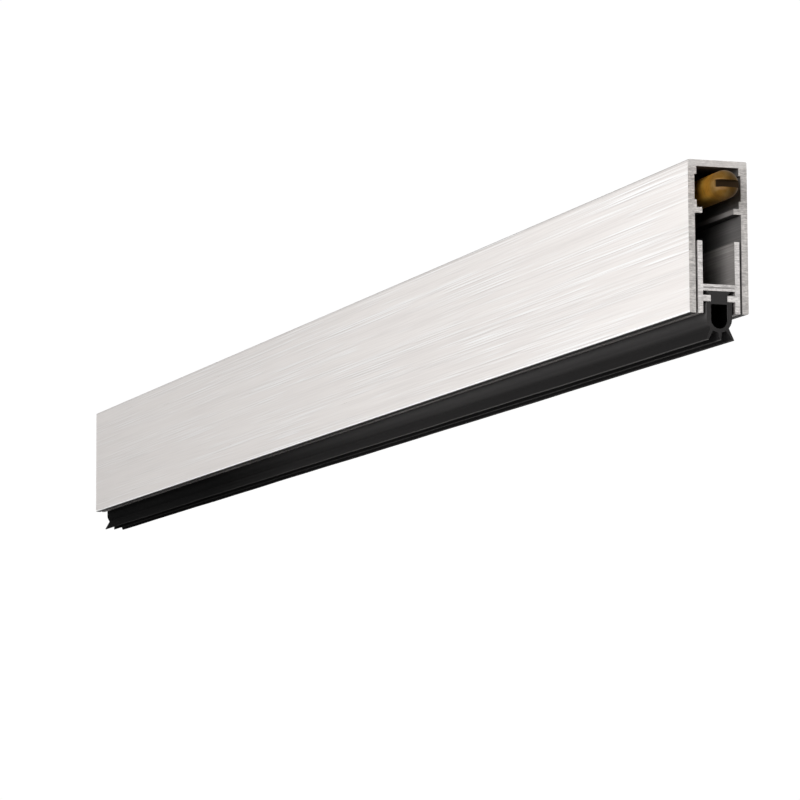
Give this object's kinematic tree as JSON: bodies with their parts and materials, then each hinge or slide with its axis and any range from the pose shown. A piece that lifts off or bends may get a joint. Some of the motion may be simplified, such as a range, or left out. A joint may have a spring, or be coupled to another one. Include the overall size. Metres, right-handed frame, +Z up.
{
  "type": "automatic door bottom seal",
  "caption": "Automatic door bottom seal: an extruded casing whose end plunger drives a spring-returned carrier with a rubber strip down to the floor.",
  "frame": {"origin": "middle of the casing's top face", "axes": "+X along the length towards the plunger's end, +Y away from the brushed face that shows, +Z up"},
  "size_m": [0.536, 0.0144, 0.041],
  "materials": {
    "casing_aluminium": "brushed along the length, with sawn ends",
    "carrier_aluminium": "mill finish",
    "seal_rubber": "matt black",
    "plunger_brass": "turned",
    "moulded_nylon": "moulded",
    "zinc": "die cast",
    "steel": "zinc plated",
    "spring_steel": "bright drawn"
  },
  "bodies": {
    "casing": {"casing": "casing_aluminium", "plunger_bush": "moulded_nylon", "rod_guide": "moulded_nylon", "guide_frame_near": "moulded_nylon", "guide_frame_far": "moulded_nylon", "frame_screws": "steel", "return_spring_near": "spring_steel", "return_spring_far": "spring_steel"},
    "drive": {"drive_block": "zinc", "lock_nut": "steel", "push_rod": "steel", "rod_pins": "steel", "cam_slider_near": "zinc", "cam_slider_far": "zinc"},
    "plunger": {"plunger": "plunger_brass"},
    "carrier": {"carrier": "carrier_aluminium", "seal": "seal_rubber", "pin_bracket_near": "steel", "pin_bracket_far": "steel", "bracket_rivets": "steel", "cross_pin_near": "steel", "cross_pin_far": "steel"}
  },
  "joints": [
    {"name": "plunger_push", "type": "slide", "parent": "casing", "child": "drive", "axis": [-1, 0, 0], "range_m": [0, 0.006], "stiffness_N_per_m": 2900, "springref_m": -0.005, "deforming": ["return_spring_near", "return_spring_far"]},
    {"name": "seal_drop", "type": "slide", "parent": "casing", "child": "carrier", "axis": [0, 0, -1], "range_m": [0, 0.009]},
    {"name": "plunger_turn", "type": "hinge", "parent": "drive", "child": "plunger", "pos_m": [0.265, 0, -0.0062], "axis": [1, 0, 0], "continuous": true}
  ],
  "couplings": [
    {"joint": "seal_drop", "follows": "plunger_push", "ratio": 1.5}
  ]
}
